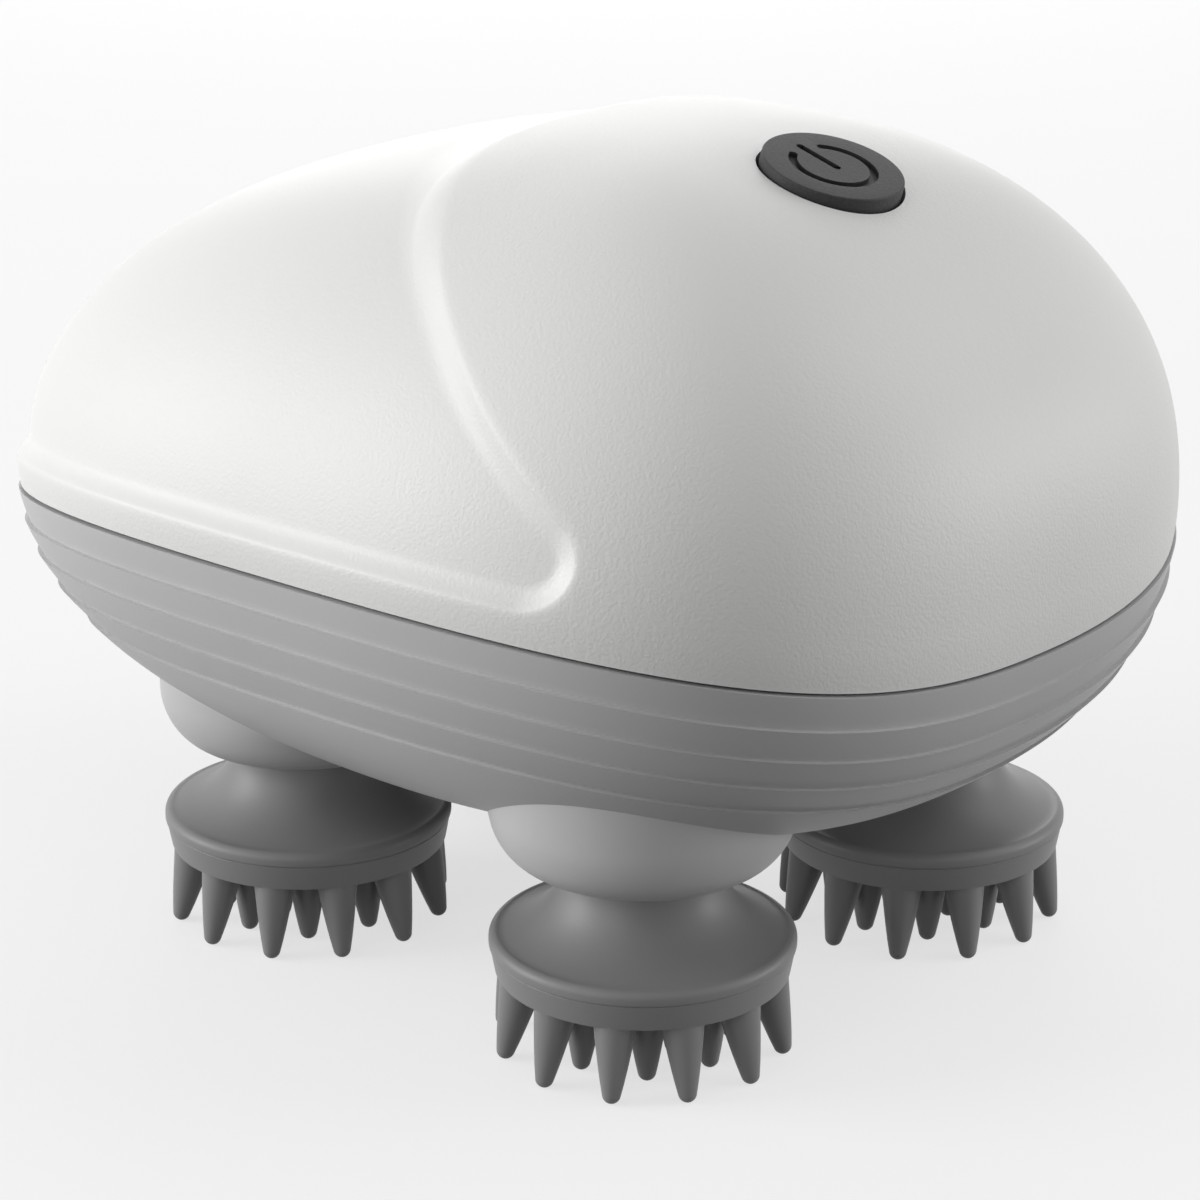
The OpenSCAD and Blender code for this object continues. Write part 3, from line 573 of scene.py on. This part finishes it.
for share in (0.75, 0.5, 0.25, 0.02, 0):
    bowl_rings.append(floor_edge * share + floor_middle * (1 - share))
inner_shares = np.array([0.03, 0.1, 0.2, 0.3, 0.4, 0.5, 0.6, 0.7, 0.79, 0.87, 0.93, 0.97, 0.995])
inner_bowl = [bowl_point(columns, 0 * columns + s, wall, floor_z + wall) for s in inner_shares]
inner_bowl.insert(0, bowl_point(columns, seam_gap / full_height, wall, floor_z))
inner_bowl.append(0 * inner_bowl[-1] + np.array([widest_x, 0, floor_z + wall]))
bowl = closed_skin(np.array(inner_bowl[::-1] + bowl_rings))


def at_spot(spot, tool):
    return moved(tool, spot[0], spot[1])


# A boss is a cup: a round lower edge, and a straight wall that runs up into the bowl. A
# tube in it holds the spindle's bush, over a wider seat for the lip seal.
boss_r, boss_bottom_r = 15.4, 10.6
boss_z, boss_full_z, boss_top = 20.3, 26.4, 33
boss_well_r = 12.8
tube_r, tube_top, bush_r = 7.5, 36, 5
seal_r, seal_height = 7, 3
post_foot_z = floor_z + 2
boss_curve = [(boss_bottom_r + (boss_r - boss_bottom_r) * math.sin(a),
               boss_full_z - (boss_full_z - boss_z) * math.cos(a))
              for a in np.radians(np.arange(0, 91, 5))]
head_places = {
    joint["child"]: Vector(joint["pos_m"]) * 1000
    for joint in frame["joints"] if joint["child"].endswith("_head")}
for spot in head_places.values():
    cup = turned([(0, boss_z)] + boss_curve + [(boss_r, boss_top), (0, boss_top)], 160)
    bowl = join_or_cut(bowl, at_spot(spot, cup), "UNION")
for spot in head_places.values():
    well = rod(boss_well_r, floor_z + wall, boss_top + 2, 96)
    bowl = join_or_cut(bowl, at_spot(spot, well), "DIFFERENCE")
    bowl = join_or_cut(bowl, at_spot(spot, rod(tube_r, post_foot_z, tube_top)), "UNION")
    bowl = join_or_cut(bowl, at_spot(spot, rod(seal_r, boss_z - 1, boss_z + seal_height)), "DIFFERENCE")
    bowl = join_or_cut(bowl, at_spot(spot, rod(bush_r, boss_z, tube_top + 1)), "DIFFERENCE")

# Case screws go up through counterbores in the floor; two contacts sit under the nose
gear_x = 7.2
case_posts = [(gear_x, -28), (gear_x, 28), (41, 0), (-42, 0)]
case_post_r, case_post_top = 3.5, 40
case_seat_r, case_seat_z, case_screw_r = 2.8, 26, 1.4
contact_spots = [(-30, -3), (-30, 3)]
contact_r = 1.3
for spot in case_posts:
    bowl = join_or_cut(bowl, at_spot(spot, rod(case_post_r, post_foot_z, case_post_top)), "UNION")
    bowl = join_or_cut(bowl, at_spot(spot, rod(case_seat_r, floor_z - 3, case_seat_z)), "DIFFERENCE")
    bowl = join_or_cut(bowl, at_spot(spot, rod(case_screw_r, floor_z, case_post_top + 1)), "DIFFERENCE")
for spot in contact_spots:
    contact_hole = rod(contact_r, floor_z - 1, floor_z + wall + 1)
    bowl = join_or_cut(bowl, at_spot(spot, contact_hole), "DIFFERENCE")

# Satin grey, faintly cloudy, with a spark-eroded texture of a fifth of a millimetre that is
# drawn coarser than it is so that it shows
grey_abs, tree, place = start_material("grey_abs_moulded_satin")
spark_pitch, spark_depth = 0.0003, 0.000006
clouds_per_metre = 40
cloud = add_node(tree, "ShaderNodeTexNoise", {"Vector": place, "Scale": clouds_per_metre, "Detail": 3})
tone = add_node(tree, "ShaderNodeMixRGB", {
    "Fac": cloud.outputs["Fac"], "Color1": linear("#C3C3C3"), "Color2": linear("#C8C8C8")})
spark = add_node(tree, "ShaderNodeTexNoise", {"Vector": place, "Scale": 1 / spark_pitch, "Detail": 1})
bumps = add_node(tree, "ShaderNodeBump", {
    "Strength": 1, "Distance": spark_depth, "Height": spark.outputs["Fac"]})
shader = add_node(tree, "ShaderNodeBsdfPrincipled", {
    "Base Color": tone.outputs[0], "Roughness": 0.5, "Normal": bumps.outputs[0], "IOR": 1.53,
    "Specular IOR Level": 0.4})
add_node(tree, "ShaderNodeOutputMaterial", {"Surface": shader.outputs[0]})
show("lower_shell_bowl", finish_mesh(bowl, "lower_shell_bowl"), "housing", "grey_abs",
     grey_abs, "lower_shell")

# ---- Seam gasket ------------------------------------------------------------
# Black rubber cord laid between the two shells. It sits half a millimetre inside their
# edges, so it shows as a thin dark line.
gasket_inset, gasket_width, gasket_air = 0.5, 1.3, 0.05
gasket_flatness = 0.6     # exponent that squeezes its round section flat
gasket_rings = []
for turn in np.radians(np.arange(0, 360, 45) + 22.5):
    inwards = gasket_width / 2 * (1 + sign_pow(math.cos(turn), gasket_flatness))
    up = (seam_gap / 2 - gasket_air) * sign_pow(math.sin(turn), gasket_flatness)
    ring = bowl_point(columns, 0 * columns, gasket_inset + float(inwards), floor_z)
    ring[:, 2] += float(up) - seam_gap / 2
    gasket_rings.append(ring)
gasket_rings.append(gasket_rings[0])
cord_skin = closed_skin(np.array(gasket_rings))

# Dull black with a bloom of dust in specks under a millimetre wide
black_rubber, tree, place = start_material("black_rubber_moulded")
dust_pitch = 0.0008
dust = add_node(tree, "ShaderNodeTexNoise", {"Vector": place, "Scale": 1 / dust_pitch, "Detail": 2})
tone = add_node(tree, "ShaderNodeMixRGB", {
    "Fac": dust.outputs["Fac"], "Color1": linear("#1C1C1E"), "Color2": linear("#28282A")})
shader = add_node(tree, "ShaderNodeBsdfPrincipled", {
    "Base Color": tone.outputs[0], "Roughness": 0.7, "IOR": 1.5, "Specular IOR Level": 0.3})
add_node(tree, "ShaderNodeOutputMaterial", {"Surface": shader.outputs[0]})
show("seam_gasket_cord", finish_mesh(cord_skin, "seam_gasket_cord"), "housing", "black_rubber",
     black_rubber, "seam_gasket")

# ---- Power button -----------------------------------------------------------
# Black button, moulded with a flange that keeps it under the shell. Its flat top has a
# spark-eroded grain, and the power sign is sunk into it.
button_proud, button_r, edge_r = 0.88, 7.1, 0.16
draft = 0.15          # the side widens downwards by this much
flange_r, flange_top, flange_bottom, flange_edge = 9, -4.75, -5.6, 0.1
top_edge = [(button_r - edge_r + edge_r * math.sin(a), button_proud - edge_r + edge_r * math.cos(a))
            for a in np.radians(np.arange(0, 91, 15))]
button = turned([(0, button_proud)] + top_edge + [
    (button_r + draft, flange_top),
    (flange_r - flange_edge, flange_top), (flange_r, flange_top - flange_edge),
    (flange_r, flange_bottom + flange_edge), (flange_r - flange_edge, flange_bottom),
    (0, flange_bottom)], 128)

# The sign is a ring with a gap, and a bar that runs through the gap to the middle
sign_r, groove_half, groove_depth = 4.05, 0.44, 0.5
groove_floor, groove_top = button_proud - groove_depth, button_proud + 1
gap_turn = math.radians(31)
bar_from, bar_to = -sign_r - 0.3, 0.4


def box(width, depth, low, high):
    bm = bmesh.new()
    bmesh.ops.create_cube(bm, size=1)
    bmesh.ops.scale(bm, vec=(width, depth, high - low), verts=bm.verts)
    return moved(bm, 0, 0, (low + high) / 2)


def groove_end(x, y=0):
    return moved(rod(groove_half, groove_floor, groove_top, 24), x, y)


ring_cut = bmesh.new()
bmesh.ops.create_grid(ring_cut, x_segments=1, y_segments=1, size=1)
for corner in ring_cut.verts:
    corner.co = (sign_r + groove_half * corner.co.x, 0,
                 groove_floor if corner.co.y < 0 else groove_top)
ring_cut = about_z(ring_cut, -math.pi + gap_turn)
section = ring_cut.verts[:] + ring_cut.edges[:] + ring_cut.faces[:]
bmesh.ops.spin(ring_cut, geom=section, cent=(0, 0, 0), axis=(0, 0, 1),
               angle=2 * (math.pi - gap_turn), steps=96)
bmesh.ops.recalc_face_normals(ring_cut, faces=ring_cut.faces)
bar_cut = box(bar_to - bar_from, 2 * groove_half, groove_floor, groove_top)
cuts = [ring_cut]
for turn in (-math.pi + gap_turn, math.pi - gap_turn):
    cuts.append(groove_end(sign_r * math.cos(turn), sign_r * math.sin(turn)))
cuts += [moved(bar_cut, (bar_from + bar_to) / 2), groove_end(bar_from), groove_end(bar_to)]
for cut in cuts:
    button = join_or_cut(button, cut, "DIFFERENCE")
button.transform(button_place)

# Black whose spark-eroded top looks speckled grey, in specks of a third of a millimetre
button_black, tree, place = start_material("black_abs_spark_eroded")
speck_pitch, speck_depth = 0.00035, 0.00004
speck = add_node(tree, "ShaderNodeTexNoise", {
    "Vector": place, "Scale": 1 / speck_pitch, "Detail": 2, "Roughness": 0.7})
tone = add_node(tree, "ShaderNodeMixRGB", {
    "Fac": speck.outputs["Fac"], "Color1": linear("#0C0C0D"), "Color2": linear("#353536")})
bumps = add_node(tree, "ShaderNodeBump", {
    "Strength": 1, "Distance": speck_depth, "Height": speck.outputs["Fac"]})
shader = add_node(tree, "ShaderNodeBsdfPrincipled", {
    "Base Color": tone.outputs[0], "Roughness": 0.6, "Normal": bumps.outputs[0], "IOR": 1.53,
    "Specular IOR Level": 0.4})
add_node(tree, "ShaderNodeOutputMaterial", {"Surface": shader.outputs[0]})
show("power_button_cap", finish_mesh(button, "power_button_cap"), "power_button", "black_rubber",
     button_black, "power_button")

# ---- Heads ------------------------------------------------------------------
# Each head is dark grey silicone moulded over a rigid core: a skin that flares from the
# neck to a rounded rim, and a pad with three rings of soft tines.
rim_r, neck_r, neck_top = 15.4, 8, 19.8
parting_z, pad_z, pad_r = 10.9, 8.1, 14.8
core_r, hub_r, core_top = 13.4, 5.6, 12
fit = 0.01     # between the skin and the core or the pad that it sits on
# The flare is an elliptical arc that still falls a little where the rim's roll meets it
flare_x, flare_z, flare_low = 16.5, 19.6, 12.15
flare_end = math.radians(-75.5)
flare = [(flare_x - (flare_x - neck_r) * math.cos(a), flare_z + (flare_z - flare_low) * math.sin(a))
         for a in np.linspace(flare_end, 0, 20)]
flare_slope = ((flare_z - flare_low) * math.cos(flare_end)
               / ((neck_r - flare_x) * math.sin(flare_end)))
roll_start = math.pi / 2 + math.atan(flare_slope)
rim_roll = (rim_r - flare[0][0]) / (1 - math.cos(roll_start))
roll_z = flare[0][1] - rim_roll * math.sin(roll_start)
rolled_rim = [(rim_r - rim_roll + rim_roll * math.cos(a), roll_z + rim_roll * math.sin(a))
              for a in np.linspace(0, roll_start, 10)[:-1]]
rim_edge = [(rim_r - 0.22, parting_z), (rim_r - 0.09, parting_z + 0.03),
            (rim_r - 0.02, parting_z + 0.1), (rim_r, parting_z + 0.2)]
skin_profile = [
    (core_r + fit, parting_z), *rim_edge, *rolled_rim, *flare,
    (neck_r, neck_top - 0.1), (neck_r - 0.1, neck_top), (hub_r + fit, neck_top),
    (hub_r + fit, core_top + fit), (core_r + fit, core_top + fit), (core_r + fit, parting_z)]

tine_foot_r, tine_tip_r = 2.22, 0.93
tine_swell = 0.85     # exponent under 1 that makes the sides slightly convex
tine_root = 0.7       # how far the foot goes up into the pad


def tine(tip, foot, sides=28):
    """A cone with a ball end that leans outwards from its foot on the pad."""
    lean = math.atan((tip - foot) / (pad_z - tine_tip_r))
    reach = (pad_z - tine_tip_r) / math.cos(lean)
    slope = math.asin((tine_foot_r - tine_tip_r) / reach)
    ball = [(tine_tip_r * math.sin(a), -tine_tip_r * math.cos(a))
            for a in np.linspace(0, math.pi / 2 - slope, 8)]
    side = [(tine_tip_r + (tine_foot_r - tine_tip_r) * s ** tine_swell, reach * s)
            for s in (0.15, 0.3, 0.45, 0.6, 0.75, 0.88)]
    bm = turned([*ball, *side, (tine_foot_r, reach - 0.1), (tine_foot_r + 0.02, reach + tine_root),
                 (0, reach + tine_root)], sides)
    bmesh.ops.rotate(bm, cent=(0, 0, 0), matrix=Matrix.Rotation(-lean, 3, "Y"), verts=bm.verts)
    return moved(bm, tip, 0, tine_tip_r)


pad_top_r = 15.25     # the pad's side opens upwards, almost to the skin's rim
pad_edge = [(pad_r - 0.25, pad_z), (pad_r - 0.08, pad_z + 0.06), (pad_r, pad_z + 0.25)]
pad = turned([(0, pad_z), *pad_edge, (pad_top_r, parting_z - 0.14),
              (pad_top_r - 0.1, parting_z - fit), (0, parting_z - fit)], 144)
# How many tines a ring holds, and the radii on which their tips and their feet lie
tine_rings = [(12, 14.3, pad_r - tine_foot_r), (8, 9, 8.6), (4, 4.2, 4.2)]
for count, tip, foot in tine_rings:
    for k in range(count):
        pad = join_or_cut(pad, about_z(tine(tip, foot), k * 2 * math.pi / count), "UNION")

# Matt dark grey, faintly cloudy, with the fine texture of its mould
silicone, tree, place = start_material("grey_silicone_moulded_matt")
mould_pitch, mould_depth = 0.00035, 0.000008
clouds_per_metre = 60
cloud = add_node(tree, "ShaderNodeTexNoise", {"Vector": place, "Scale": clouds_per_metre, "Detail": 4})
tone = add_node(tree, "ShaderNodeMixRGB", {
    "Fac": cloud.outputs["Fac"], "Color1": linear("#848484"), "Color2": linear("#8B8B8B")})
fine = add_node(tree, "ShaderNodeTexNoise", {"Vector": place, "Scale": 1 / mould_pitch, "Detail": 1})
bumps = add_node(tree, "ShaderNodeBump", {
    "Strength": 1, "Distance": mould_depth, "Height": fine.outputs["Fac"]})
shader = add_node(tree, "ShaderNodeBsdfPrincipled", {
    "Base Color": tone.outputs[0], "Roughness": 0.46, "Normal": bumps.outputs[0], "IOR": 1.43,
    "Specular IOR Level": 0.5})
add_node(tree, "ShaderNodeOutputMaterial", {"Surface": shader.outputs[0]})

pad_mesh = finish_mesh(pad, "tine_pad")
skin_mesh = finish_mesh(turned(skin_profile, 144), "head_skin")
for body, spot in head_places.items():
    corner = body.removesuffix("_head")
    for part, source in (("head_skin", skin_mesh), ("tine_pad", pad_mesh)):
        mesh = source.copy()
        mesh.transform(Matrix.Translation(Vector((spot.x, spot.y, 0)) * to_metres))
        show(f"{corner}_{part}_silicone", mesh, body, "grey_silicone", silicone, f"{corner}_{part}")

# ---- Screws, motor can and shafts -------------------------------------------
# Nickel-plated steel: pan-head screws, the drawn can of the motor, and ground shafts. Like
# all the pieces below, these are the model's own and only get their finish here.
def grained(name, dark, light, grain, depth, roughness, **more):
    """A material with a fine grain, whose pitch and depth are in metres, and a faint mottle."""
    material, tree, place = start_material(name)
    mottle = add_node(tree, "ShaderNodeTexNoise", {"Vector": place, "Scale": 0.1 / grain, "Detail": 3})
    tone = add_node(tree, "ShaderNodeMixRGB", {
        "Fac": mottle.outputs["Fac"], "Color1": linear(dark), "Color2": linear(light)})
    fine = add_node(tree, "ShaderNodeTexNoise", {"Vector": place, "Scale": 1 / grain, "Detail": 2})
    bumps = add_node(tree, "ShaderNodeBump", {
        "Strength": 1, "Distance": depth, "Height": fine.outputs["Fac"]})
    shader = add_node(tree, "ShaderNodeBsdfPrincipled", {
        "Base Color": tone.outputs[0], "Roughness": roughness, "Normal": bumps.outputs[0], **more})
    add_node(tree, "ShaderNodeOutputMaterial", {"Surface": shader.outputs[0]})
    return material


def dress(slot, material):
    """Gives the model's own parts of one record slot their finish."""
    for part in frame["record"]["subparts"]:
        if part["material_slot"] == slot:
            for place in frame["nodes"][part["node"]].material_slots:
                place.material = material


dress("steel", grained("steel_nickel_plated", "#B9BBBD", "#C9CACB", 0.0003, 0.000004, 0.28, Metallic=1))

# ---- Gears ------------------------------------------------------------------
# Natural white acetal, injection moulded: the two-step centre and idler gears and one gear
# on each spindle. The slippery resin looks waxy and slightly warm.
dress("acetal", grained("acetal_moulded", "#E4DFCF", "#ECE8DB", 0.0004, 0.000004, 0.38, IOR=1.48))

# ---- Motor pinion and charge contacts ---------------------------------------
# Free-cutting brass, turned on an automatic lathe, with the pinion's teeth hobbed. The
# pinion is pressed on the motor's shaft, and the contacts into the bowl's floor.
dress("brass", grained("brass_machined", "#D2AE62", "#DDBD78", 0.0003, 0.000004, 0.3, Metallic=1))

# ---- Spindle bushes ---------------------------------------------------------
# Sintered bronze with oil in its pores, so it looks dull and finely speckled. Each is
# pressed into the tube of its boss.
dress("bronze", grained("bronze_sintered", "#9C7448", "#B98E5E", 0.00015, 0.00002, 0.5, Metallic=1))

# ---- Seals ------------------------------------------------------------------
# Black rubber rings, in the same rubber as the gasket: one under the button's flange, and
# a lip seal round each spindle.
dress("black_rubber", black_rubber)

# ---- Gearbox plate ----------------------------------------------------------
# Glass-filled nylon in mid grey, moulded, with the faint cloudiness of its fibres. Screws
# hold it over the gears.
dress("frame_plastic", grained(
    "nylon_glass_filled", "#6E7072", "#7C7E80", 0.0005, 0.00001, 0.55, IOR=1.53))

# ---- Head cores -------------------------------------------------------------
# Dark ABS discs, keyed on the spindles, over which the silicone is moulded. They have the
# satin surface of their own mould.
dress("core_plastic", grained(
    "dark_abs_moulded", "#3C3F42", "#464A4D", 0.0003, 0.000006, 0.45, IOR=1.53))

# ---- Push switch ------------------------------------------------------------
# Black thermoplastic body and plunger, matt from the mould. It sits on the circuit board
# under the button.
dress("black_plastic", grained(
    "black_pbt_moulded", "#141414", "#1E1E1E", 0.0002, 0.000005, 0.5, IOR=1.55))

# ---- Circuit board ----------------------------------------------------------
# Glass-epoxy laminate, cut from a sheet and coated with green solder resist, through which
# the glass weave just shows.
laminate, tree, place = start_material("glass_epoxy_green_resist")
thread_pitch, weave_depth = 0.0005, 0.00001
wave_period = 0.31     # of the wave node at a scale of 1
warp, weft = (
    add_node(tree, "ShaderNodeTexWave", {"Vector": place, "Scale": wave_period / thread_pitch},
             bands_direction=way) for way in ("X", "Y"))
weave = add_node(tree, "ShaderNodeMath", {0: warp.outputs["Fac"], 1: weft.outputs["Fac"]},
                 operation="MULTIPLY")
tone = add_node(tree, "ShaderNodeMixRGB", {
    "Fac": weave.outputs[0], "Color1": linear("#0E4A28"), "Color2": linear("#146036")})
bumps = add_node(tree, "ShaderNodeBump", {
    "Strength": 1, "Distance": weave_depth, "Height": weave.outputs[0]})
shader = add_node(tree, "ShaderNodeBsdfPrincipled", {
    "Base Color": tone.outputs[0], "Roughness": 0.3, "Normal": bumps.outputs[0], "IOR": 1.5,
    "Coat Weight": 0.4, "Coat Roughness": 0.15})
add_node(tree, "ShaderNodeOutputMaterial", {"Surface": shader.outputs[0]})
dress("board_laminate", laminate)

# ---- Battery cell -----------------------------------------------------------
# Steel can in a violet shrink film, which is drawn tight with heat and stays smooth and
# glossy over its whole length.
dress("cell_wrap", grained("violet_shrink_film", "#54408C", "#604B99", 0.001, 0.000006, 0.22, IOR=1.5))
